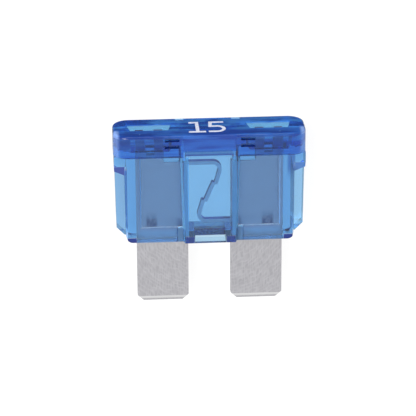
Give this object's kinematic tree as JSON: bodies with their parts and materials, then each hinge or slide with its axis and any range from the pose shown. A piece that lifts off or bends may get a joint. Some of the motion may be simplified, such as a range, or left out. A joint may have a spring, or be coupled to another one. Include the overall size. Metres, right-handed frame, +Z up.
{
  "type": "automotive blade fuse",
  "caption": "Plug-in blade fuse: a stamped metal strip with two flat blades and a thin fusible link, held in a transparent blue moulded housing with a wider head.",
  "frame": {"origin": "on the surface that the fuse lies on, under the centre of its outline", "axes": "+X across the two blades, +Y from the blade tips towards the head, +Z up through the thickness, with the fuse lying on its back"},
  "size_m": [0.019, 0.0186, 0.0051],
  "materials": {
    "clear_blue_plastic": "transparent blue moulded plastic, glossy",
    "tin_plated_metal": "satin tin-plated metal strip with faint wavy rolling marks"
  },
  "bodies": {
    "root": {"housing": "clear_blue_plastic", "fuse_element": "tin_plated_metal"}
  },
  "joints": []
}
